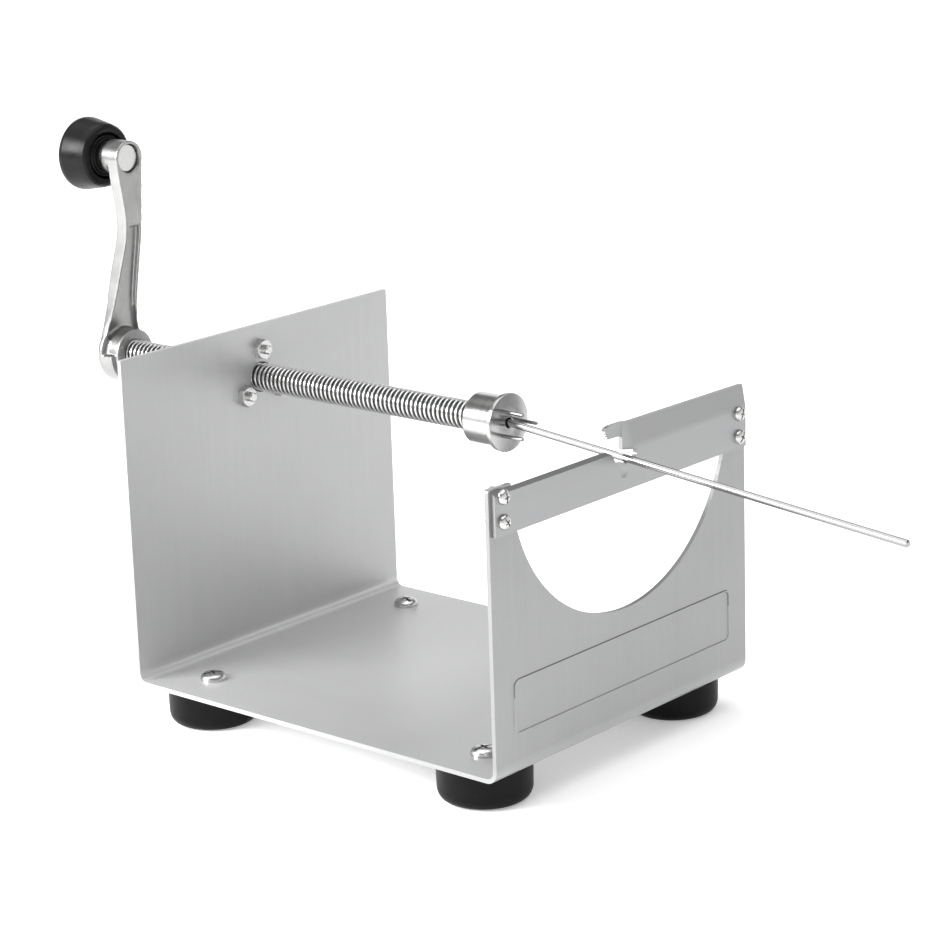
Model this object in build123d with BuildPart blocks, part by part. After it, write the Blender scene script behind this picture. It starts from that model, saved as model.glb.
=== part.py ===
from build123d import *
import os
from math import sin, cos, tan, radians, pi, sqrt, atan, degrees

os.makedirs("parts", exist_ok=True)

# ---------------------------------------------------------------- frame of the model
# +X runs along the lead screw from the crank to the blade, +Z is up, z = 0 is the table.
# Every length is in mm. Stations along X are counted from the back plate's rear face,
# and XS moves them so that the whole object's box is centred on the origin.
XS = -119.153

# ---------------------------------------------------------------- driving dimensions
W = 170.0            # width of the bent sheet
L = 208.0            # rear face of the back plate to front face of the front plate
T = 1.9              # sheet thickness
Z0 = 16.2            # underside of the base
HB = 163.6           # top of the back plate
HF = 139.2           # top of the front plate's ears
RO = 5.4             # outer bend radius
RI = RO - T          # inner bend radius
ZA = 139.1           # height of the screw axis

OPEN_Y, OPEN_Z, OPEN_R = 0.8, 140.2, 71.9      # round cut-out in the front plate
PANEL_W, PANEL_H, PANEL_Z = 144.7, 22.5, 45.8  # raised panel outline
SCREW_HOLE_R = 7.0

THREAD_R = 6.35      # 1/2 in screw
ROOT_R = 5.12
PITCH = 2.54         # ten threads to the inch
NUT_CLEAR = 0.30     # radial clearance of the nut
BOLT_PCD_R = 13.0    # three bolts round the screw

FOOT_X1, FOOT_X2, FOOT_Y = 26.2, 183.4, 63.9
FOOT_R = 20.2

HUB_BACK, HUB_FRONT, HUB_R, FLANGE_R, FLANGE_T = 130.8, 147.6, 11.1, 12.7, 2.0
SOCKET_R, SOCKET_D = 2.25, 7.6
PRONG_R, PRONG_PC, PRONG_TIP = 0.8, 6.1, 158.2

ROD_R = 1.5875
ROD_DROP = 0.0941    # slope of the resting rod
ROD_PIVOT_X, ROD_PIVOT_Z = 145.6, ZA + 0.2     # where it tilts in the socket
ROD_START, ROD_TIP = 143.6, 346.4

STRIP_T = 2.0
STRIP_Z1, STRIP_ZL = 119.8, 138.2
STRIP_Y = 83.5

THROW = 92.5         # crank radius
ZK = ZA + THROW      # knob axis


def X(x):
    return XS + x


# ---------------------------------------------------------------- frame sheet
foot_xy = [(FOOT_X1, -FOOT_Y), (FOOT_X1, FOOT_Y), (FOOT_X2, -FOOT_Y), (FOOT_X2, FOOT_Y)]
bolt_yz = [(BOLT_PCD_R * cos(radians(a)), ZA + BOLT_PCD_R * sin(radians(a))) for a in (90, 210, 330)]
blade_yz = [(-78.4, 135.6), (-78.4, 125.4), (78.4, 135.0), (78.4, 124.8)]

with BuildPart() as frame_sheet:
    with BuildSketch(Plane.XZ):
        with BuildLine():
            Polyline((X(0), Z0), (X(L), Z0), (X(L), HF), (X(L - T), HF), (X(L - T), Z0 + T),
                     (X(T), Z0 + T), (X(T), HB), (X(0), HB), close=True)
        make_face()
        outer = [v for v in vertices() if abs(v.Y - Z0) < 0.01]
        fillet(outer, RO)
        inner = [v for v in vertices() if abs(v.Y - Z0 - T) < 0.01]
        fillet(inner, RI)
    extrude(amount=W / 2, both=True)
    # round cut-out of the front plate
    with BuildSketch(Plane.YZ.offset(X(L - 10))):
        with Locations((OPEN_Y, OPEN_Z)):
            Circle(OPEN_R)
    extrude(amount=20, mode=Mode.SUBTRACT)
    # screw hole and bolt holes of the back plate
    with BuildSketch(Plane.YZ.offset(X(-5))):
        with Locations((0, ZA)):
            Circle(SCREW_HOLE_R)
        with Locations(*bolt_yz):
            Circle(2.2)
    extrude(amount=15, mode=Mode.SUBTRACT)
    # holes for the feet
    with BuildSketch(Plane.XY.offset(Z0 - 5)):
        with Locations(*[(X(a), b) for a, b in foot_xy]):
            Circle(2.6)
    extrude(amount=12, mode=Mode.SUBTRACT)
    # holes for the blade screws
    with BuildSketch(Plane.YZ.offset(X(L - 10))):
        with Locations(*blade_yz):
            Circle(1.9)
    extrude(amount=20, mode=Mode.SUBTRACT)
    # corners of the plates
    top = [e for e in edges().filter_by(Axis.X) if e.center().Z > HF - 1 and abs(abs(e.center().Y) - W / 2) < 0.01]
    fillet([e for e in top if e.center().Z > HB - 5], 0.4)
    fillet([e for e in top if e.center().Z < HB - 5], 1.1)
    # relief on the far ear for the leaning guide half
    with BuildSketch(Plane.XZ.offset(-60)):
        with BuildLine():
            Polyline((X(L) + 0.01, 135.9), (X(L) + 0.01, HF + 0.1), (X(L) - 0.55, HF + 0.1), close=True)
        make_face()
    extrude(amount=-40, mode=Mode.SUBTRACT)
    # raised outline of the panel
    with BuildSketch(Plane.YZ.offset(X(L))):
        with Locations((0, PANEL_Z)):
            RectangleRounded(PANEL_W + 1.1, PANEL_H + 1.1, 3.2)
            RectangleRounded(PANEL_W - 1.1, PANEL_H - 1.1, 2.1, mode=Mode.SUBTRACT)
    extrude(amount=0.45, taper=30)
frame_sheet.part.label = "frame_sheet"

# ---------------------------------------------------------------- blade strip
BEND_Z0, BEND_Z1 = 135.9, 138.1        # where the guide half bends back
LEAN = 0.1745                          # slope of its upper part
TAB_Y0, TAB_Y1, TAB_F = 2.0, 5.2, 206.5    # the inner tab curls back from TAB_Y1 to TAB_Y0
TIP_Z = 147.7


def guide_x(z):
    """Front face of the guide half at height z."""
    if z <= BEND_Z0:
        return L + STRIP_T
    if z >= BEND_Z1:
        return L + STRIP_T - LEAN * (z - (BEND_Z0 + BEND_Z1) / 2)
    return L + STRIP_T - LEAN * (z - BEND_Z0) ** 2 / 2 / (BEND_Z1 - BEND_Z0)


with BuildPart() as blade_strip:
    # flat body with the rod notch between the two halves
    with BuildSketch(Plane.YZ.offset(X(L))):
        with BuildLine():
            b1 = Polyline((-12.8, STRIP_ZL), (-STRIP_Y, STRIP_ZL), (-STRIP_Y, STRIP_Z1), (STRIP_Y, STRIP_Z1),
                          (STRIP_Y, BEND_Z0), (6.4, BEND_Z0))
            b2 = ThreePointArc((6.4, BEND_Z0), (7.1, 134.2), (5.6, 132.5))
            b3 = Line((5.6, 132.5), (2.2, 131.9))
            b4 = ThreePointArc((2.2, 131.9), (0, 131.05), (-2.2, 131.9))
            b5 = Line((-2.2, 131.9), (-5.4, 132.4))
            b6 = Spline([(-5.4, 132.4), (-7.3, 133.5), (-8.8, 135.8), (-10.6, 137.5), (-12.8, STRIP_ZL)],
                        tangents=[(-1, 0.15), (-1, 0.12)])
        make_face()
    extrude(amount=STRIP_T)
    # ground bevel along the cutting edge
    with BuildSketch(Plane.XZ):
        with BuildLine():
            Polyline((X(L + 0.25), STRIP_ZL + 0.01), (X(L + STRIP_T + 0.01), STRIP_ZL + 0.01),
                     (X(L + STRIP_T + 0.01), STRIP_ZL - 1.35), close=True)
        make_face()
    extrude(amount=W / 2, mode=Mode.SUBTRACT)
    # upper part of the guide half, bent back
    bend = [BEND_Z0, (BEND_Z0 * 2 + BEND_Z1) / 3, (BEND_Z0 + BEND_Z1 * 2) / 3, BEND_Z1]
    with BuildSketch(Plane.XZ.offset(-STRIP_Y)):
        with BuildLine():
            u1 = Spline([(X(guide_x(z)), z) for z in bend], tangents=[(0, 1), (-LEAN, 1)])
            u2 = Line(u1 @ 1, (X(guide_x(TIP_Z)), TIP_Z))
            u3 = Line(u2 @ 1, (X(guide_x(TIP_Z) - STRIP_T), TIP_Z))
            u4 = Line(u3 @ 1, (X(guide_x(BEND_Z1) - STRIP_T), BEND_Z1))
            u5 = Spline([(X(guide_x(z) - STRIP_T), z) for z in reversed(bend)], tangents=[(LEAN, -1), (0, -1)])
            u6 = Line(u5 @ 1, u1 @ 0)
        make_face()
    extrude(amount=STRIP_Y - TAB_Y1)
    # inner tab, curling back
    curls = []
    for z in (BEND_Z0, BEND_Z1, TIP_Z):
        with BuildSketch(Plane.XY.offset(z), mode=Mode.PRIVATE) as curl:
            with BuildLine():
                Polyline((X(guide_x(z)), TAB_Y1), (X(guide_x(z) - STRIP_T), TAB_Y1), (X(TAB_F - 1.9), TAB_Y0), (X(TAB_F), TAB_Y0),
                         close=True)
            make_face()
        curls.append(curl.sketch)
    loft(sections=curls, ruled=True)
    # tongue with its small teeth
    with BuildSketch(Plane.YZ.offset(X(TAB_F - 1.9))):
        with BuildLine():
            Polyline((TAB_Y0, 141.2), (1.5, 141.8), (0.6, 142.0), (-7.2, 142.2), (-8.3, 142.7), (-8.1, 143.5), (-9.0, 143.9),
                     (-8.5, 144.6), (-9.4, 145.1), (-8.9, 145.8), (-9.3, 146.5), (-8.4, 147.1), (-6.0, TIP_Z), (TAB_Y0, TIP_Z), close=True)
        make_face()
    extrude(amount=1.9)
    # the guide half's top falls a little towards the far end
    with BuildSketch(Plane.YZ.offset(X(L - 12))):
        with BuildLine():
            Polyline((-2, TIP_Z), (STRIP_Y + 1, TIP_Z - 0.95), (STRIP_Y + 1, TIP_Z + 1), (-2, TIP_Z + 1), close=True)
        make_face()
    extrude(amount=24, mode=Mode.SUBTRACT)
    # screw holes and the shallow dimple under the notch
    with BuildSketch(Plane.YZ.offset(X(L - 5))):
        with Locations(*blade_yz):
            Circle(1.9)
    extrude(amount=12, mode=Mode.SUBTRACT)
    with Locations((X(L + STRIP_T + 5.6), -1.6, 127.6)):
        Sphere(6.1, mode=Mode.SUBTRACT)
blade_strip.part.label = "blade_strip"


# ---------------------------------------------------------------- screws, nuts and washers
def combo_slot(width, length, depth, cross):
    """A straight slot crossed by a shorter one, as a solid centred on the origin, cut downwards from z = 0."""
    with BuildPart() as tool:
        with BuildSketch(Plane.XY.offset(-depth)):
            Rectangle(length, width)
            Rectangle(width, cross)
        extrude(amount=depth + 5)
    return tool.part


def pan_screw(head_r, head_h, shank_r, length, slot_w, turn):
    """Pan-head screw along -Z with its head's seat at z = 0."""
    with BuildPart() as scr:
        with BuildSketch(Plane.XZ):
            with BuildLine():
                Polyline((0, head_h), (0, -length), (shank_r - 0.4, -length), (shank_r, -length + 0.4), (shank_r, 0),
                         (head_r, 0), (head_r, head_h * 0.30))
                Spline([(head_r, head_h * 0.30), (head_r * 0.80, head_h * 0.78), (head_r * 0.36, head_h * 0.985), (0, head_h)],
                       tangents=[(-0.25, 1), (-1, 0)])
            make_face()
        revolve(axis=Axis.Z)
        add(combo_slot(slot_w, head_r * 1.56, head_h * 0.52, head_r * 0.86).locate(Location((0, 0, head_h), (0, 0, turn))),
            mode=Mode.SUBTRACT)
    return scr.part


def hex_nut(af, h, r_in):
    with BuildPart() as nut:
        with BuildSketch():
            RegularPolygon(af / 2, 6, major_radius=False)
            Circle(r_in, mode=Mode.SUBTRACT)
        extrude(amount=h)
        with BuildSketch(Plane.XZ):
            with BuildLine():
                Polyline((af / 2 * 0.96, h), (af, h), (af, h - af * 0.30), close=True)
            make_face()
        revolve(axis=Axis.Z, mode=Mode.SUBTRACT)
    return nut.part


def washer(r_out, r_in, h):
    with BuildPart() as w:
        with BuildSketch():
            Circle(r_out)
            Circle(r_in, mode=Mode.SUBTRACT)
        extrude(amount=h)
    return w.part


to_front = (0, 90, 0)      # turns +Z to +X
to_back = (0, -90, 0)      # turns +Z to -X

with BuildPart() as blade_screws:
    for (y, z), turn in zip(blade_yz, (8, 38, -20, -35)):
        add(pan_screw(3.15, 2.3, 1.75, 9.2, 0.75, turn).locate(Location((X(L + STRIP_T), y, z), to_front)))
blade_screws.part.label = "blade_screws"

with BuildPart() as blade_nuts:
    for y, z in blade_yz:
        add(hex_nut(6.4, 2.6, 1.75).locate(Location((X(L - T), y, z), to_back)))
blade_nuts.part.label = "blade_nuts"

FOOT_REC_R, FOOT_REC_D = 8.5, 9.0
feet = []
for nm, (fx, fy) in zip(("foot_back_near", "foot_back_far", "foot_front_near", "foot_front_far"), foot_xy):
    with BuildPart() as foot:
        with BuildSketch(Plane.XZ):
            with BuildLine():
                Polyline((2.6, Z0), (2.6, FOOT_REC_D), (FOOT_REC_R, FOOT_REC_D), (FOOT_REC_R, 0), (FOOT_R - 5.0, 0))
                Spline([(FOOT_R - 5.0, 0), (FOOT_R - 1.55, 1.5), (FOOT_R - 0.2, 5.2)], tangents=[(1, 0), (0.05, 1)])
                Polyline((FOOT_R - 0.2, 5.2), (FOOT_R, Z0 - 0.8), (FOOT_R - 0.8, Z0), (2.6, Z0))
            make_face()
        revolve(axis=Axis.Z)
    foot_part = foot.part.locate(Location((X(fx), fy, 0)))
    foot_part.label = nm
    feet.append(foot_part)

with BuildPart() as foot_screws:
    for (fx, fy), turn in zip(foot_xy, (58, -20, 75, 15)):
        add(pan_screw(5.7, 3.3, 2.4, 13.8, 1.25, turn).locate(Location((X(fx), fy, Z0 + T))))
foot_screws.part.label = "foot_screws"

with BuildPart() as foot_washers:
    for fx, fy in foot_xy:
        add(washer(7.4, 2.7, 1.0).locate(Location((X(fx), fy, FOOT_REC_D - 1.0))))
foot_washers.part.label = "foot_washers"

with BuildPart() as foot_nuts:
    for fx, fy in foot_xy:
        add(hex_nut(8.0, 3.2, 2.4).locate(Location((X(fx), fy, FOOT_REC_D - 1.0), (180, 0, 0))))
foot_nuts.part.label = "foot_nuts"

with BuildPart() as feed_nut_bolts:
    for y, z in bolt_yz:
        with BuildPart(mode=Mode.PRIVATE) as bolt:
            with BuildSketch():
                RegularPolygon(3.175, 6, major_radius=False)
            extrude(amount=-2.8)
            with BuildSketch():
                Circle(2.1)
            extrude(amount=13.9)
            chamfer(faces().sort_by(Axis.Z)[-1].edges(), 0.5)
        add(bolt.part.locate(Location((X(-6.0), y, z), to_front)))
feed_nut_bolts.part.label = "feed_nut_bolts"

with BuildPart() as feed_nut_hex_nuts:
    for (y, z), turn in zip(bolt_yz, (12, -8, 20)):
        add(hex_nut(8.7, 3.3, 2.1).locate(Location((X(T), y, z), to_front)).rotate(Axis((0, y, z), (1, 0, 0)), turn))
feed_nut_hex_nuts.part.label = "feed_nut_hex_nuts"


# ---------------------------------------------------------------- lead screw: shaft, turned ends and the thread's ridges at its pitch
SCREW_TURNS = 87
SCREW_X1 = HUB_BACK                          # threaded length ends at the chuck
SCREW_X0 = SCREW_X1 - SCREW_TURNS * PITCH    # and begins inside the crank
END_R, END_LEN, TAIL_R = 5.0, 8.4, 4.0       # turned ends in the chuck and in the crank
CREST, FLANK = 0.62, 0.64                    # widths of a crest and of a flank along the axis

ridge = [(0.0, ROOT_R), (FLANK, THREAD_R), (FLANK + CREST, THREAD_R), (2 * FLANK + CREST, ROOT_R)]
outline = [(X(SCREW_X0 - 9.4), 0), (X(SCREW_X0 - 9.4), TAIL_R), (X(SCREW_X0), TAIL_R), (X(SCREW_X0), ROOT_R)]
for turn in range(SCREW_TURNS):
    start = SCREW_X0 + turn * PITCH + 0.32
    outline += [(X(start + dx), r) for dx, r in ridge]
outline += [(X(SCREW_X1), ROOT_R), (X(SCREW_X1), END_R), (X(SCREW_X1 + END_LEN), END_R), (X(SCREW_X1 + END_LEN), 0)]
with BuildPart() as lead_screw:
    with BuildSketch(Plane.XY):
        with BuildLine():
            Polyline(*outline, close=True)
        make_face()
    revolve(axis=Axis.X)
lead_screw.part.locate(Location((0, 0, ZA)))
lead_screw.part.label = "lead_screw"

NUT_X0, NUT_X1 = -22.5, 0.0
with BuildPart() as feed_nut:
    with BuildSketch(Plane.YZ.offset(X(NUT_X0))):
        with Locations((0, ZA)):
            Circle(9.0)
    extrude(amount=NUT_X1 - NUT_X0)
    with BuildSketch(Plane.YZ.offset(X(-6.0))):
        with Locations((0, ZA)):
            Circle(18.6)
    extrude(amount=6.0)
    chamfer(edges().filter_by(GeomType.CIRCLE).filter_by(lambda e: abs(e.radius - 18.6) < 0.01), 0.5)
    with BuildSketch(Plane.YZ.offset(X(-8.0))):
        with Locations(*bolt_yz):
            Circle(2.2)
    extrude(amount=10, mode=Mode.SUBTRACT)
    # bore that clears the thread's crests
    with BuildSketch(Plane.YZ.offset(X(NUT_X0 - 1))):
        with Locations((0, ZA)):
            Circle(THREAD_R + NUT_CLEAR)
    extrude(amount=NUT_X1 - NUT_X0 + 2, mode=Mode.SUBTRACT)
feed_nut.part.label = "feed_nut"

# ---------------------------------------------------------------- chuck
prong_ang = (118.5, 238.5, 358.5)
prong_yz = [(PRONG_PC * cos(radians(a)), ZA + PRONG_PC * sin(radians(a))) for a in prong_ang]
with BuildPart() as chuck_hub:
    with BuildSketch(Plane.XY):
        with BuildLine():
            Polyline((X(HUB_BACK), END_R), (X(HUB_BACK), HUB_R - 0.7), (X(HUB_BACK + 0.7), HUB_R),
                     (X(HUB_FRONT - FLANGE_T - 0.5), HUB_R), (X(HUB_FRONT - FLANGE_T), HUB_R + 0.5),
                     (X(HUB_FRONT - FLANGE_T), FLANGE_R - 0.2), (X(HUB_FRONT - FLANGE_T + 0.2), FLANGE_R),
                     (X(HUB_FRONT - 0.35), FLANGE_R), (X(HUB_FRONT), FLANGE_R - 0.35), (X(HUB_FRONT), SOCKET_R + 0.3),
                     (X(HUB_FRONT - 0.3), SOCKET_R), (X(HUB_FRONT - SOCKET_D), SOCKET_R), (X(HUB_FRONT - SOCKET_D), 0),
                     (X(HUB_BACK + END_LEN), 0), (X(HUB_BACK + END_LEN), END_R), close=True)
        make_face()
    revolve(axis=Axis.X)
    with BuildSketch(Plane.YZ.offset(X(HUB_FRONT - 6.0))):
        with Locations(*[(y, z - ZA) for y, z in prong_yz]):
            Circle(PRONG_R)
    extrude(amount=10, mode=Mode.SUBTRACT)
    with BuildSketch(Plane.XY.offset(-20)):
        with Locations((X(HUB_BACK + 4.0), 0)):
            Circle(2.0)
    extrude(amount=20 - 4.9, mode=Mode.SUBTRACT)
chuck_hub.part.locate(Location((0, 0, ZA)))
chuck_hub.part.label = "chuck_hub"

with BuildPart() as hub_set_screw:
    with BuildSketch(Plane.XY.offset(ZA - 10.7)):
        with Locations((X(HUB_BACK + 4.0), 0)):
            Circle(2.0)
    extrude(amount=10.7 - END_R)
    with BuildSketch(Plane.XY.offset(ZA - 10.7)):
        with Locations((X(HUB_BACK + 4.0), 0)):
            RegularPolygon(1.0, 6, major_radius=False)
    extrude(amount=2.2, mode=Mode.SUBTRACT)
hub_set_screw.part.label = "hub_set_screw"

with BuildPart() as prongs:
    for y, z in prong_yz:
        with BuildPart(mode=Mode.PRIVATE) as pin:
            with BuildSketch(Plane.XZ):
                with BuildLine():
                    Polyline((0, 0), (PRONG_R, 0), (PRONG_R, PRONG_TIP - HUB_FRONT + 6.0 - 0.5),
                             (PRONG_R - 0.4, PRONG_TIP - HUB_FRONT + 6.0), (0, PRONG_TIP - HUB_FRONT + 6.0), close=True)
                make_face()
            revolve(axis=Axis.Z)
        add(pin.part.locate(Location((X(HUB_FRONT - 6.0), y, z), to_front)))
prongs.part.label = "prongs"

# ---------------------------------------------------------------- loose core rod, lying in the socket and in the notch
rod_len = (ROD_TIP - ROD_START) * sqrt(1 + ROD_DROP ** 2)
with BuildPart() as core_rod:
    Cylinder(ROD_R, rod_len, align=(Align.CENTER, Align.CENTER, Align.MIN))
    chamfer(edges().filter_by(GeomType.CIRCLE), 0.45)
core_rod.part.locate(Location((X(ROD_START), 0, ROD_PIVOT_Z + (ROD_PIVOT_X - ROD_START) * ROD_DROP),
                              (0, 90 + degrees(atan(ROD_DROP)), 0)))
core_rod.part.label = "core_rod"

# ---------------------------------------------------------------- crank
CR_F, CR_B = -88.4, -92.6      # front and rear of the hub disc
BOSS_F, BOSS_R = -80.6, 11.3
DISC_R = 14.2
EYE_F, EYE_B, EYE_R = -76.6, -87.8, 8.1
arm_z = [3.0, 14.0, 22.0, 30.0, 39.0, 49.5, 58.0, 65.0, 78.0, 92.5]       # height over the screw axis
arm_x = [-88.4, -87.2, -85.4, -83.3, -81.0, -78.2, -76.4, -75.9, -76.2, -76.6]  # front face
arm_w = [12.6, 9.3, 7.7, 6.9, 6.2, 5.35, 5.0, 5.15, 6.5, 7.9]                # half width
arm_rear = [-92.6, -92.0, -91.0, -89.5, -87.7, -85.0, -83.2, -82.7, -83.0, -83.4]  # rear face

with BuildPart() as crank_arm:
    # side outline of the arm
    with BuildSketch(Plane.XZ):
        with BuildLine():
            f1 = Spline([(X(x), ZA + z) for x, z in zip(arm_x, arm_z)])
            f2 = Line(f1 @ 1, (X(arm_rear[-1]), ZK))
            f3 = Spline([(X(x), ZA + z) for x, z in zip(reversed(arm_rear), reversed(arm_z))])
            f4 = Line(f3 @ 1, f1 @ 0)
        make_face()
    extrude(amount=20, both=True)
    # front outline of the arm
    with BuildSketch(Plane.YZ.offset(X(-110))):
        with BuildLine():
            g1 = Spline([(w, ZA + z) for w, z in zip(arm_w, arm_z)])
            g2 = Line(g1 @ 1, (-arm_w[-1], ZK))
            g3 = Spline([(-w, ZA + z) for w, z in zip(reversed(arm_w), reversed(arm_z))])
            g4 = Line(g3 @ 1, g1 @ 0)
        make_face()
    extrude(amount=50, mode=Mode.INTERSECT)
    # hub disc and eye
    with BuildPart(mode=Mode.PRIVATE) as disc:
        with BuildSketch(Plane.YZ.offset(X(CR_B))):
            with Locations((0, ZA)):
                Circle(DISC_R)
        extrude(amount=CR_F - CR_B)
        fillet(disc.edges().sort_by(Axis.X)[0], 2.6)
    add(disc.part)
    with BuildSketch(Plane.YZ.offset(X(EYE_B))):
        with Locations((0, ZK)):
            Circle(EYE_R)
    extrude(amount=EYE_F - EYE_B)
    # pocket in the arm's front face, with a rib left on each side
    pz = [6.0, 14.0, 22.0, 30.0, 39.0, 49.5, 58.0, 60.5]
    pw = [9.6, 8.1, 6.3, 5.3, 4.55, 3.75, 3.35, 3.3]
    px = [-88.4, -87.2, -85.4, -83.3, -81.0, -78.2, -76.4, -76.2]
    with BuildPart(mode=Mode.PRIVATE) as pocket:
        with BuildSketch(Plane.XZ):
            with BuildLine():
                p1 = Spline([(X(x - 2.4), ZA + z) for x, z in zip(px, pz)])
                p2 = Line(p1 @ 1, (X(px[-1] + 6), ZA + pz[-1] + 3))
                p3 = Spline([(X(x + 6), ZA + z + (3 if i == 0 else 0)) for i, (x, z) in enumerate(zip(reversed(px), reversed(pz)))])
                p4 = Line(p3 @ 1, p1 @ 0)
            make_face()
        extrude(amount=20, both=True)
        with BuildSketch(Plane.YZ.offset(X(-110))):
            with BuildLine():
                h1 = Spline([(w, ZA + z) for w, z in zip(pw, pz)])
                h2 = ThreePointArc(h1 @ 1, (0, ZA + pz[-1] + 1.8), (-pw[-1], ZA + pz[-1]))
                h3 = Spline([(-w, ZA + z) for w, z in zip(reversed(pw), reversed(pz))])
                h4 = Line(h3 @ 1, h1 @ 0)
            make_face()
        extrude(amount=50, mode=Mode.INTERSECT)
    add(pocket.part, mode=Mode.SUBTRACT)
    # boss, with the lower half of the hub carried forward beside it
    with BuildSketch(Plane.YZ.offset(X(CR_B + 2))):
        with Locations((0, ZA)):
            Circle(BOSS_R)
    extrude(amount=BOSS_F - CR_B - 2)
    with BuildSketch(Plane.YZ.offset(X(CR_F - 0.5))):
        with Locations((0, ZA)):
            Circle(DISC_R)
        with Locations((0, ZA + 20.6)):
            Rectangle(40, 40, mode=Mode.SUBTRACT)
    extrude(amount=BOSS_F - 1.2 - CR_F + 0.5)
    # bore of the hub, set screw hole, eye bore and counterbore
    with BuildSketch(Plane.YZ.offset(X(CR_B - 1))):
        with Locations((0, ZA)):
            Circle(4.0)
    extrude(amount=30, mode=Mode.SUBTRACT)
    with BuildSketch(Plane.YZ.offset(X(-90.4))):
        with Locations((0, ZA)):
            Circle(6.35)
    extrude(amount=20, mode=Mode.SUBTRACT)
    with BuildSketch(Plane.YZ.offset(X(EYE_B - 1))):
        with Locations((0, ZK)):
            Circle(4.0)
    extrude(amount=20, mode=Mode.SUBTRACT)
    with BuildSketch(Plane.YZ.offset(X(EYE_F - 6.3))):
        with Locations((0, ZK)):
            Circle(6.6)
    extrude(amount=8, mode=Mode.SUBTRACT)
    set_plane = Plane(origin=(X(-84.6), 0, ZA), z_dir=(0, cos(radians(24)), sin(radians(24))), x_dir=(1, 0, 0))
    with BuildSketch(set_plane.offset(6.3)):
        Circle(2.6)
    extrude(amount=8, mode=Mode.SUBTRACT)
crank_arm.part.label = "crank_arm"

with BuildPart() as crank_set_screw:
    with BuildSketch(set_plane.offset(6.36)):
        Circle(2.6)
    extrude(amount=3.6)
    with BuildSketch(set_plane.offset(9.96)):
        RegularPolygon(1.3, 6, major_radius=False)
    extrude(amount=-2.2, mode=Mode.SUBTRACT)
crank_set_screw.part.label = "crank_set_screw"

with BuildPart() as crank_washer:
    with BuildSketch(Plane.YZ.offset(X(CR_B - 0.1))):
        with Locations((0, ZA)):
            Circle(8.2)
            Circle(4.3, mode=Mode.SUBTRACT)
    extrude(amount=-1.6)
crank_washer.part.label = "crank_washer"

with BuildPart() as crank_nut:
    add(hex_nut(12.7, 4.4, 4.0).locate(Location((X(CR_B - 1.8), 0, ZA), to_back)))
crank_nut.part.label = "crank_nut"

# ---------------------------------------------------------------- knob
KF = -91.0      # knob's front rim
KR = -108.2     # knob's rearmost point
with BuildPart() as knob_spindle:
    with BuildSketch(Plane.XY):
        with BuildLine():
            Polyline((X(EYE_F - 1.8), 0), (X(EYE_F - 1.8), 6.0), (X(EYE_F - 2.1), 6.3), (X(EYE_F - 6.3), 6.3), (X(EYE_F - 6.3), 4.0),
                     (X(-103.6), 4.0), (X(-104.1), 3.5), (X(-104.1), 0), close=True)
        make_face()
    revolve(axis=Axis.X)
knob_spindle.part.locate(Location((0, 0, ZK)))
knob_spindle.part.label = "knob_spindle"

with BuildPart() as knob_washer:
    with BuildSketch(Plane.YZ.offset(X(EYE_B))):
        with Locations((0, ZK)):
            Circle(7.2)
            Circle(4.0, mode=Mode.SUBTRACT)
    extrude(amount=-1.5)
knob_washer.part.label = "knob_washer"

CAP_X = -105.0   # seat of the cap in the knob's rear face
CAP_R = 13.8
with BuildPart() as knob_grip:
    with BuildSketch(Plane.XY):
        with BuildLine():
            Polyline((X(EYE_B - 1.9), 4.05), (X(EYE_B - 1.9), 7.4), (X(KF - 2.6), 8.2), (X(KF - 2.6), 10.4), (X(KF), 10.9), (X(KF), 13.2))
            k1 = Spline([(X(KF), 13.2), (X(KF - 0.9), 14.7), (X(KF - 3.2), 15.4), (X(-98.5), 16.1), (X(-104.2), 16.95)], tangents=[(0, 1), (-1, 0.09)])
            k2 = Spline([k1 @ 1, (X(-105.9), 16.75), (X(-106.9), 15.7)], tangents=[(-1, 0.09), (-0.25, -1)])
            Polyline(k2 @ 1, (X(-107.0), CAP_R), (X(CAP_X), CAP_R), (X(CAP_X), 9.2), (X(-101.9), 9.2), (X(-101.9), 4.05), (X(EYE_B - 1.9), 4.05))
        make_face()
    revolve(axis=Axis.X)
knob_grip.part.locate(Location((0, 0, ZK)))
knob_grip.part.label = "knob_grip"

with BuildPart() as knob_retainer:
    with BuildSketch(Plane.YZ.offset(X(-102.1))):
        with Locations((0, ZK)):
            Circle(7.0)
            Circle(4.0, mode=Mode.SUBTRACT)
    extrude(amount=-0.8)
knob_retainer.part.label = "knob_retainer"

with BuildPart() as knob_cap:
    with BuildSketch(Plane.XY):
        with BuildLine():
            Polyline((X(-106.9), CAP_R), (X(CAP_X), CAP_R), (X(CAP_X), 9.2), (X(CAP_X + 1.2), 9.2), (X(CAP_X + 1.2), 8.0), (X(CAP_X), 8.0), (X(CAP_X), 0),
                     (X(KR), 0))
            Spline([(X(KR), 0), (X(KR + 0.25), 6.0), (X(-106.9), CAP_R)], tangents=[(0, 1), (0.5, 1)])
        make_face()
    revolve(axis=Axis.X)
knob_cap.part.locate(Location((0, 0, ZK)))
knob_cap.part.label = "knob_cap"

# ---------------------------------------------------------------- files
named = [frame_sheet.part, blade_strip.part, blade_screws.part, blade_nuts.part, *feet, foot_screws.part, foot_washers.part,
         foot_nuts.part, feed_nut.part, feed_nut_bolts.part, feed_nut_hex_nuts.part, lead_screw.part, chuck_hub.part,
         hub_set_screw.part, prongs.part, core_rod.part, crank_arm.part, crank_set_screw.part, crank_washer.part, crank_nut.part,
         knob_spindle.part, knob_washer.part, knob_grip.part, knob_retainer.part, knob_cap.part]
for p in named:
    export_step(p, "parts/" + p.label + ".step")
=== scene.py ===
import bpy, bmesh, math
from mathutils import Vector, Matrix, noise


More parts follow.
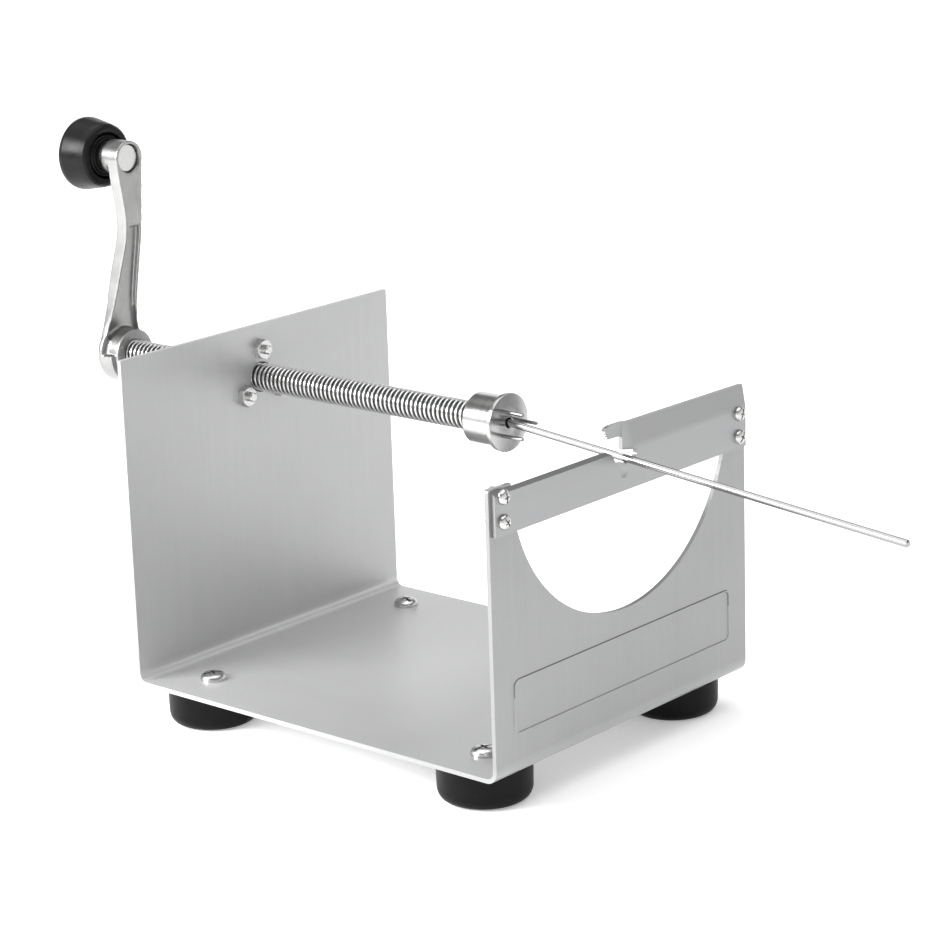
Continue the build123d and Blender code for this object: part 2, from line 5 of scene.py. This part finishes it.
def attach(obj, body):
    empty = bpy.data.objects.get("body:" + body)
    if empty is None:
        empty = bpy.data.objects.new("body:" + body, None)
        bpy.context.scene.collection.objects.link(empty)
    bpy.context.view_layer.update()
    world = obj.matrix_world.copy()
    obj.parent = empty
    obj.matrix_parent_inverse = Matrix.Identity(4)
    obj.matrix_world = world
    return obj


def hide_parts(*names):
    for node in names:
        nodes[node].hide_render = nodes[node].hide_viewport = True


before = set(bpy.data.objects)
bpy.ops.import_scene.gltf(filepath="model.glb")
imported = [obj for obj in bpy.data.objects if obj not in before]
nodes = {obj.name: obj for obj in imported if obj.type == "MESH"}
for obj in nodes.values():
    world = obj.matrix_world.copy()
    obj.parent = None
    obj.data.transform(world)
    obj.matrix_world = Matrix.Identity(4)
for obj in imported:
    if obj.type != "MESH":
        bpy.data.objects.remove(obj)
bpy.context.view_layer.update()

# ------------------------------------------------------------------ stations (mm, as in the CAD)
XS = -119.153
ZA = 139.1
ZK = ZA + 92.5
PITCH = 2.54


def P(x, y, z):
    """A point in metres; x is counted from the back plate's rear face."""
    return Vector(((x + XS) / 1000, y / 1000, z / 1000))


# ------------------------------------------------------------------ small helpers
def new_object(name, verts, faces, smooth=True):
    me = bpy.data.meshes.new(name)
    me.from_pydata([tuple(v) for v in verts], [], faces)
    me.update()
    ob = bpy.data.objects.new(name, me)
    bpy.context.scene.collection.objects.link(ob)
    if smooth:
        for p in me.polygons:
            p.use_smooth = True
    return ob


def sharpen(ob, angle=35):
    """Marks edges sharper than angle, so that flat faces stay flat under smooth shading."""
    me = ob.data
    bm = bmesh.new()
    bm.from_mesh(me)
    for e in bm.edges:
        e.smooth = not (len(e.link_faces) == 2 and e.calc_face_angle(0) > math.radians(angle))
    for f in bm.faces:
        f.smooth = True
    bm.to_mesh(me)
    bm.free()


def material(name):
    m = bpy.data.materials.new(name)
    m.use_nodes = True
    m.node_tree.nodes.clear()
    return m, m.node_tree.nodes, m.node_tree.links


def shader(nt, links):
    out = nt.new("ShaderNodeOutputMaterial")
    b = nt.new("ShaderNodeBsdfPrincipled")
    links.new(b.outputs[0], out.inputs[0])
    return b


def mapped(nt, links, scale, kind="Object"):
    tc = nt.new("ShaderNodeTexCoord")
    mp = nt.new("ShaderNodeMapping")
    mp.inputs["Scale"].default_value = scale
    links.new(tc.outputs[kind], mp.inputs["Vector"])
    return mp.outputs["Vector"]


def noise_tex(nt, links, vec, scale=1.0, detail=4.0, rough=0.6, dist=0.0):
    n = nt.new("ShaderNodeTexNoise")
    n.inputs["Scale"].default_value = scale
    n.inputs["Detail"].default_value = detail
    n.inputs["Roughness"].default_value = rough
    n.inputs["Distortion"].default_value = dist
    links.new(vec, n.inputs["Vector"])
    return n.outputs["Fac"]


def ramp(nt, links, fac, stops):
    r = nt.new("ShaderNodeValToRGB")
    els = r.color_ramp.elements
    while len(els) < len(stops):
        els.new(0.5)
    for e, (pos, col) in zip(els, stops):
        e.position = pos
        e.color = (col, col, col, 1) if not isinstance(col, tuple) else (*col, 1)
    links.new(fac, r.inputs["Fac"])
    return r.outputs["Color"]


def map_range(nt, links, fac, lo, hi, a=0.0, b=1.0):
    r = nt.new("ShaderNodeMapRange")
    r.inputs["From Min"].default_value = a
    r.inputs["From Max"].default_value = b
    r.inputs["To Min"].default_value = lo
    r.inputs["To Max"].default_value = hi
    links.new(fac, r.inputs["Value"])
    return r.outputs["Result"]


def math_node(nt, links, op, a, b):
    m = nt.new("ShaderNodeMath")
    m.operation = op
    for i, v in enumerate((a, b)):
        if isinstance(v, (int, float)):
            m.inputs[i].default_value = v
        else:
            links.new(v, m.inputs[i])
    return m.outputs[0]


def bump(nt, links, height, strength, distance, normal=None):
    b = nt.new("ShaderNodeBump")
    b.inputs["Strength"].default_value = strength
    b.inputs["Distance"].default_value = distance
    links.new(height, b.inputs["Height"])
    if normal is not None:
        links.new(normal, b.inputs["Normal"])
    return b.outputs["Normal"]


def mixed(nt, links, fac, a, b):
    m = nt.new("ShaderNodeMix")
    m.data_type = "RGBA"
    for sock, v in ((m.inputs["Factor"], fac), (m.inputs["A"], a), (m.inputs["B"], b)):
        if isinstance(v, (int, float)):
            sock.default_value = v
        elif isinstance(v, tuple):
            sock.default_value = (*v, 1)
        else:
            links.new(v, sock)
    return m.outputs["Result"]


# ------------------------------------------------------------------ materials
def brushed(name, color, grain, rough, rough_var, tone_var, bump_d, aniso=0.0, large=0.03):
    """Brushed or drawn steel. grain is the noise scale along x, y, z per metre: low along the grain, high across it."""
    m, nt, links = material(name)
    b = shader(nt, links)
    fine = noise_tex(nt, links, mapped(nt, links, grain), 1.0, 3.0, 0.65)
    coarse = noise_tex(nt, links, mapped(nt, links, tuple(g * 0.23 for g in grain)), 1.0, 2.0, 0.5)
    cloud = noise_tex(nt, links, mapped(nt, links, (14, 14, 14)), 1.0, 3.0, 0.55)
    streak = math_node(nt, links, "ADD", math_node(nt, links, "MULTIPLY", fine, 0.62), math_node(nt, links, "MULTIPLY", coarse, 0.38))
    tone = math_node(nt, links, "ADD", math_node(nt, links, "MULTIPLY", streak, tone_var), math_node(nt, links, "MULTIPLY", cloud, large))
    dark = tuple(c * (1 - tone_var * 0.9) for c in color)
    light = tuple(min(1.0, c * (1 + tone_var * 0.9)) for c in color)
    links.new(mixed(nt, links, map_range(nt, links, tone, 0, 1, tone_var * 0.25, tone_var * 0.75 + large), dark, light), b.inputs["Base Color"])
    links.new(map_range(nt, links, streak, rough - rough_var, rough + rough_var, 0.3, 0.7), b.inputs["Roughness"])
    links.new(bump(nt, links, streak, 0.5, bump_d), b.inputs["Normal"])
    b.inputs["Metallic"].default_value = 1.0
    if aniso:
        b.inputs["Anisotropic"].default_value = aniso
    return m


MAT = {}
MAT["blade"] = brushed("blade_stainless", (0.330, 0.332, 0.335), (1500, 24, 1500), 0.38, 0.05, 0.06, 0.000014)
MAT["screw"] = brushed("screw_steel", (0.56, 0.56, 0.555), (700, 700, 700), 0.26, 0.05, 0.08, 0.000008)
MAT["turned"] = brushed("turned_steel", (0.50, 0.50, 0.495), (2400, 60, 60), 0.20, 0.05, 0.10, 0.000010)
MAT["pin"] = brushed("pin_steel", (0.35, 0.35, 0.35), (40, 1500, 1500), 0.20, 0.05, 0.10, 0.000008)
MAT["black_steel"] = brushed("black_steel", (0.06, 0.06, 0.065), (700, 700, 700), 0.38, 0.08, 0.2, 0.00002)


def sheet_stainless():
    """Rolled sheet: the grain runs up the plates and along the base."""
    m, nt, links = material("sheet_stainless")
    b = shader(nt, links)
    fine = noise_tex(nt, links, mapped(nt, links, (26, 2100, 26)), 1.0, 3.0, 0.6)
    broad = noise_tex(nt, links, mapped(nt, links, (9, 260, 9)), 1.0, 3.0, 0.55)
    cloud = noise_tex(nt, links, mapped(nt, links, (11, 11, 11)), 1.0, 3.0, 0.55)
    spots = noise_tex(nt, links, mapped(nt, links, (420, 420, 420)), 1.0, 2.0, 0.5)
    streak = math_node(nt, links, "ADD", math_node(nt, links, "MULTIPLY", fine, 0.55), math_node(nt, links, "MULTIPLY", broad, 0.45))
    tone = math_node(nt, links, "ADD", math_node(nt, links, "MULTIPLY", streak, 0.6), math_node(nt, links, "MULTIPLY", cloud, 0.4))
    # painted light: the base is painted a little lighter than the two plates, as a painted top light, and the back
    # plate and the rear of the base are painted lighter again, a painted fill for the shade in the inside corner
    tc = nt.new("ShaderNodeTexCoord")
    sep = nt.new("ShaderNodeSeparateXYZ")
    links.new(tc.outputs["Object"], sep.inputs[0])
    low = map_range(nt, links, sep.outputs["Z"], 0.0, 1.0, 0.0235, 0.0185)
    rear = map_range(nt, links, sep.outputs["X"], 0.0, 1.0, 0.03, -0.10)
    fac = map_range(nt, links, tone, 0.0, 1.0, 0.36, 0.64)
    front = mixed(nt, links, fac, (0.300, 0.302, 0.305), (0.340, 0.342, 0.345))
    back = mixed(nt, links, fac, (0.440, 0.442, 0.445), (0.485, 0.487, 0.490))
    # painted light on the base: lighter at the front, lighter again at the rear, where the inside corner is shaded
    base_front_painted_light = mixed(nt, links, fac, (0.395, 0.397, 0.400), (0.435, 0.437, 0.440))
    base_rear_painted_light = mixed(nt, links, fac, (0.640, 0.642, 0.645), (0.685, 0.687, 0.690))
    face = mixed(nt, links, low, mixed(nt, links, rear, front, back), mixed(nt, links, rear, base_front_painted_light, base_rear_painted_light))
    # the sheared edge of the round cut-out is darker than the rolled faces
    ns = nt.new("ShaderNodeSeparateXYZ")
    links.new(tc.outputs["Normal"], ns.inputs[0])
    side = math_node(nt, links, "LESS_THAN", math_node(nt, links, "ABSOLUTE", ns.outputs["X"], 0.0), 0.55)
    inx = math_node(nt, links, "GREATER_THAN", sep.outputs["X"], 0.07)
    iny = math_node(nt, links, "LESS_THAN", math_node(nt, links, "ABSOLUTE", sep.outputs["Y"], 0.0), 0.0745)
    inz = math_node(nt, links, "GREATER_THAN", sep.outputs["Z"], 0.05)
    cut = math_node(nt, links, "MULTIPLY", math_node(nt, links, "MULTIPLY", side, inx), math_node(nt, links, "MULTIPLY", iny, inz))
    # faces turned towards -X keep the front plate's colour, so the painted light lies only on faces turned forward
    face = mixed(nt, links, math_node(nt, links, "LESS_THAN", ns.outputs["X"], -0.5), face, front)
    links.new(mixed(nt, links, cut, face, (0.16, 0.16, 0.162)), b.inputs["Base Color"])
    r = math_node(nt, links, "ADD", map_range(nt, links, streak, 0.36, 0.44, 0.35, 0.65), map_range(nt, links, spots, 0.0, 0.05, 0.55, 0.75))
    links.new(r, b.inputs["Roughness"])
    links.new(bump(nt, links, streak, 0.5, 0.000014), b.inputs["Normal"])
    b.inputs["Metallic"].default_value = 0.55
    return m


def thread_steel():
    """Rolled thread: bright crests over dark roots, painted by distance from the axis: painted shade in the roots and a
    painted highlight on the crests. The axis is at y = 0, z = ZA.
    """
    m, nt, links = material("thread_steel")
    b = shader(nt, links)
    tc = nt.new("ShaderNodeTexCoord")
    sep = nt.new("ShaderNodeSeparateXYZ")
    links.new(tc.outputs["Object"], sep.inputs[0])
    dz = math_node(nt, links, "SUBTRACT", sep.outputs["Z"], ZA / 1000)
    r2 = math_node(nt, links, "ADD", math_node(nt, links, "MULTIPLY", sep.outputs["Y"], sep.outputs["Y"]), math_node(nt, links, "MULTIPLY", dz, dz))
    r = math_node(nt, links, "POWER", r2, 0.5)
    shade_and_roughness_noise = noise_tex(nt, links, mapped(nt, links, (500, 500, 500)), 1.0, 3.0, 0.6)
    fine = noise_tex(nt, links, mapped(nt, links, (2600, 900, 900)), 1.0, 2.0, 0.6)
    h = math_node(nt, links, "ADD", r, math_node(nt, links, "MULTIPLY", math_node(nt, links, "SUBTRACT", shade_and_roughness_noise, 0.5), 0.0005))
    # painted shade and highlight: the colour runs from 0.09 at the root radius to 0.78 at the crest radius, with a
    # noisy edge
    col = ramp(nt, links, map_range(nt, links, h, 0.0, 1.0, 0.0051, 0.0064), [(0.0, 0.09), (0.22, 0.15), (0.48, 0.46), (0.80, 0.70), (1.0, 0.78)])
    links.new(mixed(nt, links, map_range(nt, links, fine, 0.0, 0.22, 0.3, 0.7), col, (0.30, 0.30, 0.30)), b.inputs["Base Color"])
    links.new(map_range(nt, links, shade_and_roughness_noise, 0.15, 0.27, 0.3, 0.7), b.inputs["Roughness"])
    links.new(bump(nt, links, fine, 0.4, 0.000010), b.inputs["Normal"])
    b.inputs["Metallic"].default_value = 1.0
    return m


MAT["sheet"] = sheet_stainless()
MAT["thread"] = thread_steel()


def cast_aluminium():
    m, nt, links = material("cast_aluminium")
    b = shader(nt, links)
    grain = noise_tex(nt, links, mapped(nt, links, (2600, 2600, 2600)), 1.0, 2.0, 0.6)
    lumps = noise_tex(nt, links, mapped(nt, links, (160, 160, 160)), 1.0, 3.0, 0.5)
    streak = noise_tex(nt, links, mapped(nt, links, (900, 900, 60)), 1.0, 3.0, 0.6)
    tone = math_node(nt, links, "ADD", math_node(nt, links, "MULTIPLY", lumps, 0.6), math_node(nt, links, "MULTIPLY", streak, 0.4))
    links.new(mixed(nt, links, map_range(nt, links, tone, 0, 1, 0.3, 0.7), (0.29, 0.29, 0.287), (0.38, 0.38, 0.375)), b.inputs["Base Color"])
    links.new(map_range(nt, links, tone, 0.26, 0.38, 0.3, 0.7), b.inputs["Roughness"])
    h = math_node(nt, links, "ADD", math_node(nt, links, "MULTIPLY", grain, 0.15), lumps)
    links.new(bump(nt, links, h, 0.35, 0.0004), b.inputs["Normal"])
    b.inputs["Metallic"].default_value = 1.0
    return m


def rubber():
    m, nt, links = material("foot_rubber")
    b = shader(nt, links)
    fine = noise_tex(nt, links, mapped(nt, links, (2200, 2200, 2200)), 1.0, 2.0, 0.6)
    dust = noise_tex(nt, links, mapped(nt, links, (70, 70, 70)), 1.0, 4.0, 0.6)
    links.new(mixed(nt, links, map_range(nt, links, dust, 0, 1, 0.35, 0.75), (0.003, 0.003, 0.0033), (0.008, 0.008, 0.0085)), b.inputs["Base Color"])
    links.new(map_range(nt, links, dust, 0.36, 0.52, 0.3, 0.7), b.inputs["Roughness"])
    links.new(bump(nt, links, fine, 0.25, 0.00006), b.inputs["Normal"])
    b.inputs["Specular IOR Level"].default_value = 0.11
    return m


def plastic():
    m, nt, links = material("knob_plastic")
    b = shader(nt, links)
    fine = noise_tex(nt, links, mapped(nt, links, (1500, 1500, 1500)), 1.0, 2.0, 0.6)
    cloud = noise_tex(nt, links, mapped(nt, links, (90, 90, 90)), 1.0, 3.0, 0.6)
    links.new(mixed(nt, links, map_range(nt, links, cloud, 0, 1, 0.3, 0.7), (0.002, 0.002, 0.0022), (0.007, 0.007, 0.0073)), b.inputs["Base Color"])
    links.new(map_range(nt, links, cloud, 0.27, 0.40, 0.3, 0.7), b.inputs["Roughness"])
    links.new(bump(nt, links, fine, 0.2, 0.00004), b.inputs["Normal"])
    b.inputs["Specular IOR Level"].default_value = 0.16
    return m


MAT["cast"] = cast_aluminium()
MAT["rubber"] = rubber()
MAT["plastic"] = plastic()

def applied(ob):
    """The object with its modifiers made real."""
    dg = bpy.context.evaluated_depsgraph_get()
    me = bpy.data.meshes.new_from_object(ob.evaluated_get(dg), depsgraph=dg)
    old = ob.data
    ob.modifiers.clear()
    ob.data = me
    bpy.data.meshes.remove(old)
    return ob


def stand_in(ob, node, body, mat):
    """ob replaces a CAD node and moves with its body."""
    ob.data.materials.clear()
    ob.data.materials.append(MAT[mat])
    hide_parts(node)
    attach(ob, body)
    return ob


def lathe(name, profile, origin, turn=None, segs=128, tilt=0.0):
    """Profile [(along X, radius)] in mm turned about the X axis through origin."""
    verts, faces = [], []
    n = len(profile)
    for i in range(segs):
        a = 2 * math.pi * i / segs
        for ax, r in profile:
            verts.append((origin[0] + ax / 1000, origin[1] + r * math.cos(a) / 1000, origin[2] + r * math.sin(a) / 1000))
    for i in range(segs):
        j = (i + 1) % segs
        for k in range(n - 1):
            faces.append((i * n + k, i * n + k + 1, j * n + k + 1, j * n + k))
    ob = new_object(name, verts, faces)
    bm = bmesh.new()
    bm.from_mesh(ob.data)
    bmesh.ops.remove_doubles(bm, verts=bm.verts, dist=1e-7)
    bmesh.ops.recalc_face_normals(bm, faces=bm.faces)
    bm.to_mesh(ob.data)
    bm.free()
    return ob


def rounded(points, radius, steps=5):
    """A polyline with its inner corners rounded; radius may be a list, one for each inner corner."""
    out = [points[0]]
    for i in range(1, len(points) - 1):
        r = radius[i - 1] if isinstance(radius, (list, tuple)) else radius
        p, a, b = Vector(points[i]), Vector(points[i - 1]), Vector(points[i + 1])
        u, v = (a - p), (b - p)
        la, lb = u.length, v.length
        if r <= 0 or la < 1e-9 or lb < 1e-9:
            out.append(points[i])
            continue
        u, v = u / la, v / lb
        ang = u.angle(v)
        cut = min(r / math.tan(ang / 2), la * 0.48, lb * 0.48)
        s0, s1 = p + u * cut, p + v * cut
        for k in range(steps + 1):
            t = k / steps
            q = (s0 * (1 - t) + p * t) * (1 - t) + (p * (1 - t) + s1 * t) * t
            out.append((q.x, q.y))
    out.append(points[-1])
    return out


paint = {
    "frame_sheet": "sheet", "blade_strip": "blade", "blade_screws": "screw", "blade_nuts": "screw",
    "foot_back_near": "rubber", "foot_back_far": "rubber", "foot_front_near": "rubber", "foot_front_far": "rubber",
    "foot_screws": "screw", "foot_washers": "screw", "foot_nuts": "screw", "feed_nut": "turned", "feed_nut_bolts": "screw",
    "feed_nut_hex_nuts": "screw", "lead_screw": "thread", "chuck_hub": "turned", "hub_set_screw": "black_steel", "prongs": "pin",
    "core_rod": "pin", "crank_arm": "cast", "crank_set_screw": "black_steel", "crank_washer": "screw", "crank_nut": "screw",
    "knob_spindle": "screw", "knob_washer": "screw", "knob_grip": "plastic", "knob_retainer": "screw", "knob_cap": "plastic",
}
for n, k in paint.items():
    o = nodes[n]
    for s in o.material_slots:
        s.material = MAT[k]

# ------------------------------------------------------------------ soft edges on the sheet metal
for n, w in (("frame_sheet", 0.16), ("blade_strip", 0.14), ("feed_nut_hex_nuts", 0.12), ("feed_nut_bolts", 0.12), ("crank_nut", 0.2)):
    md = nodes[n].modifiers.new("edge", "BEVEL")
    md.width = w / 1000
    md.segments = 2
    md.limit_method = "ANGLE"
    md.angle_limit = math.radians(50)
    md.harden_normals = True
    md.use_clamp_overlap = True

# ------------------------------------------------------------------ lead screw with its helical thread
SCREW_X1 = 130.8
SCREW_TURNS = 87
SCREW_X0 = SCREW_X1 - SCREW_TURNS * PITCH
STEPS = 56
profile = [(0.00, 5.10), (0.34, 5.10), (0.45, 5.17), (0.52, 5.36), (0.72, 6.10), (0.79, 6.27), (0.92, 6.35),
           (1.62, 6.35), (1.75, 6.27), (1.82, 6.10), (2.02, 5.36), (2.09, 5.17), (2.20, 5.10)]
verts, faces = [], []
m_p = len(profile)
total = (SCREW_TURNS + 2) * STEPS
for i in range(total + 1):
    a = 2 * math.pi * i / STEPS
    for dx, r in profile:
        x = SCREW_X0 - PITCH - 0.17 + PITCH * i / STEPS + dx
        x = min(max(x, SCREW_X0), SCREW_X1)
        verts.append(P(x, r * math.cos(a), ZA + r * math.sin(a)))
for i in range(total):
    for k in range(m_p - 1):
        v = i * m_p + k
        faces.append((v, v + 1, v + m_p + 1, v + m_p))
    if i + STEPS <= total - 1:
        faces.append((i * m_p + m_p - 1, (i + STEPS) * m_p, (i + STEPS + 1) * m_p, (i + 1) * m_p + m_p - 1))
thread = new_object("lead_screw_thread", verts, faces)
bm = bmesh.new()
bm.from_mesh(thread.data)
bmesh.ops.remove_doubles(bm, verts=bm.verts, dist=2e-7)
bmesh.ops.dissolve_degenerate(bm, dist=1e-7, edges=bm.edges)
bmesh.ops.recalc_face_normals(bm, faces=bm.faces)
bm.to_mesh(thread.data)
bm.free()
thread.data.polygons.foreach_set("use_smooth", [True] * len(thread.data.polygons))
sharpen(thread, 60)
stand_in(thread, "lead_screw", "screw", "thread")
core = lathe("lead_screw_ends", rounded([(SCREW_X0 - 9.4, 0), (SCREW_X0 - 9.4, 4.0), (SCREW_X0, 4.0), (SCREW_X0, 5.05), (SCREW_X1, 5.05),
                                         (SCREW_X1, 5.0), (SCREW_X1 + 8.4, 5.0), (SCREW_X1 + 8.4, 0)], [0.5, 0, 0, 0, 0, 0.3]),
             P(0, 0, ZA), segs=64)
sharpen(core)
# the plain ends lie inside the root radius and so take the thread's painted root shade
core.data.materials.append(MAT["thread"])
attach(core, "screw")

# ------------------------------------------------------------------ chuck
hub_profile = rounded([(130.8, 5.0), (130.8, 11.1), (145.1, 11.1), (145.6, 11.8), (145.6, 12.7), (147.6, 12.7), (147.6, 2.3), (140.0, 2.25), (140.0, 0)],
                      [0.6, 0.5, 0.3, 0.2, 0.35, 0.3, 0])
hub = lathe("chuck_hub_turned", hub_profile, P(0, 0, ZA), segs=160)
sharpen(hub, 30)
stand_in(hub, "chuck_hub", "screw", "turned")

# ------------------------------------------------------------------ crank: the casting's own soft corners
src = nodes["crank_arm"]
me = src.data.copy()
me.transform(src.matrix_world)
cast = bpy.data.objects.new("crank_casting", me)
bpy.context.scene.collection.objects.link(cast)
cast.data.materials.clear()
md = cast.modifiers.new("remesh", "REMESH")
md.mode = "VOXEL"
md.voxel_size = 0.00036
md.use_smooth_shade = True
md = cast.modifiers.new("smooth", "SMOOTH")
md.factor = 0.5
md.iterations = 14
applied(cast)
vg = cast.vertex_groups.new(name="hub_rear")
near = [v.index for v in cast.data.vertices
        if v.co.x * 1000 - XS < -86.9 and abs(v.co.z * 1000 - ZA - 4) < 22 and math.hypot(v.co.y * 1000, v.co.z * 1000 - ZA) > 8.5]
vg.add(near, 1.0, "REPLACE")
md = cast.modifiers.new("hub_smooth", "SMOOTH")
md.factor = 0.5
md.iterations = 45
md.vertex_group = "hub_rear"
applied(cast)
cast.vertex_groups.clear()
for p in cast.data.polygons:
    p.use_smooth = True
stand_in(cast, "crank_arm", "screw", "cast")

# ------------------------------------------------------------------ knob: one moulded body with a ringed recess in front
knob_profile = [(-89.7, 4.3), (-89.7, 6.6)]
knob_profile += rounded([(-89.7, 6.6), (-89.75, 7.3), (-91.6, 7.5), (-92.2, 8.3), (-91.3, 9.0), (-92.4, 9.9), (-93.4, 10.3), (-91.3, 10.9),
                         (-91.0, 12.6), (-91.3, 13.6), (-92.4, 14.55), (-95.0, 15.2), (-99.5, 16.0), (-104.4, 16.9), (-106.2, 16.75),
                         (-106.95, 15.6), (-107.0, 13.8)], 0.55, 4)[1:]
knob_profile += [(-105.0, 13.8), (-105.0, 4.3)]
knob = lathe("knob_moulding", knob_profile, P(0, 0, ZK), segs=144)
sharpen(knob, 50)
stand_in(knob, "knob_grip", "knob", "plastic")

# ------------------------------------------------------------------ floor, light, camera
m, nt, links = material("floor_white")
b = shader(nt, links)
fl = noise_tex(nt, links, mapped(nt, links, (3, 3, 3)), 1.0, 2.0, 0.5)
links.new(mixed(nt, links, fl, (0.955, 0.955, 0.955), (0.975, 0.975, 0.975)), b.inputs["Base Color"])
b.inputs["Roughness"].default_value = 0.9
b.inputs["Specular IOR Level"].default_value = 0.1
b.inputs["Emission Color"].default_value = (1, 1, 1, 1)
b.inputs["Emission Strength"].default_value = 0.30
floor = new_object("floor", [(-14, -14, 0), (14, -14, 0), (14, 14, 0), (-14, 14, 0)], [(0, 1, 2, 3)], smooth=False)
floor.data.materials.append(m)

world = bpy.data.worlds.new("studio")
bpy.context.scene.world = world
world.use_nodes = True
wn, wl = world.node_tree.nodes, world.node_tree.links
wn.clear()
wo = wn.new("ShaderNodeOutputWorld")
bg = wn.new("ShaderNodeBackground")
tc = wn.new("ShaderNodeTexCoord")
sep = wn.new("ShaderNodeSeparateXYZ")
wl.new(tc.outputs["Generated"], sep.inputs[0])
# a dark band high on the wall, a white ceiling, and a brighter wall behind the crank
rise = ramp(wn, wl, map_range(wn, wl, sep.outputs["Z"], 0, 1, -1, 1),
            [(0.0, 1.05), (0.69, 1.05), (0.74, 0.17), (0.85, 0.14), (0.90, 1.05), (1.0, 1.05)])
dot = wn.new("ShaderNodeVectorMath")
dot.operation = "DOT_PRODUCT"
wl.new(tc.outputs["Generated"], dot.inputs[0])
dot.inputs[1].default_value = (-0.632, 0.726, 0.271)
glow = map_range(wn, wl, dot.outputs["Value"], 1.0, 1.18, 0.55, 1.0)
add = wn.new("ShaderNodeMix")
add.data_type = "RGBA"
add.blend_type = "MULTIPLY"
add.inputs["Factor"].default_value = 1.0
wl.new(rise, add.inputs["A"])
wl.new(glow, add.inputs["B"])
wl.new(add.outputs["Result"], bg.inputs["Color"])
bg.inputs["Strength"].default_value = 1.0
wl.new(bg.outputs[0], wo.inputs[0])


def area(name, loc, target, size, power, size_y=None):
    l = bpy.data.lights.new(name, "AREA")
    l.energy = power
    l.size = size
    if size_y:
        l.shape = "RECTANGLE"
        l.size_y = size_y
    o = bpy.data.objects.new(name, l)
    o.location = loc
    o.rotation_euler = (Vector(target) - Vector(loc)).to_track_quat("-Z", "Y").to_euler()
    bpy.context.scene.collection.objects.link(o)
    return o


area("top", (-0.1, 0.0, 1.9), (0, 0, 0.1), 2.2, 17)
area("left_front", (-0.75, -1.2, 0.8), (-0.1, -0.4, 0.0), 0.7, 34)

# ------------------------------------------------------------------ camera: fitted to the photograph's view
cam_data = bpy.data.cameras.new("camera")
cam = bpy.data.objects.new("camera", cam_data)
bpy.context.scene.collection.objects.link(cam)
bpy.context.scene.camera = cam
right = Vector((0.75970, 0.64954, -0.03097))
fwd = Vector((-0.63185, 0.72608, -0.27126))
right = (right - fwd * right.dot(fwd)).normalized()
up = right.cross(fwd).normalized()
cam.matrix_world = Matrix(((right.x, up.x, -fwd.x, 0), (right.y, up.y, -fwd.y, 0), (right.z, up.z, -fwd.z, 0), (0, 0, 0, 1)))
cam.location = P(958.93, -955.21, 469.84)
cam_data.sensor_width = 36.0
cam_data.lens = 116.45
cam_data.clip_start, cam_data.clip_end = 0.05, 50

bpy.context.scene.view_settings.view_transform = "Standard"
bpy.context.scene.view_settings.look = "None"
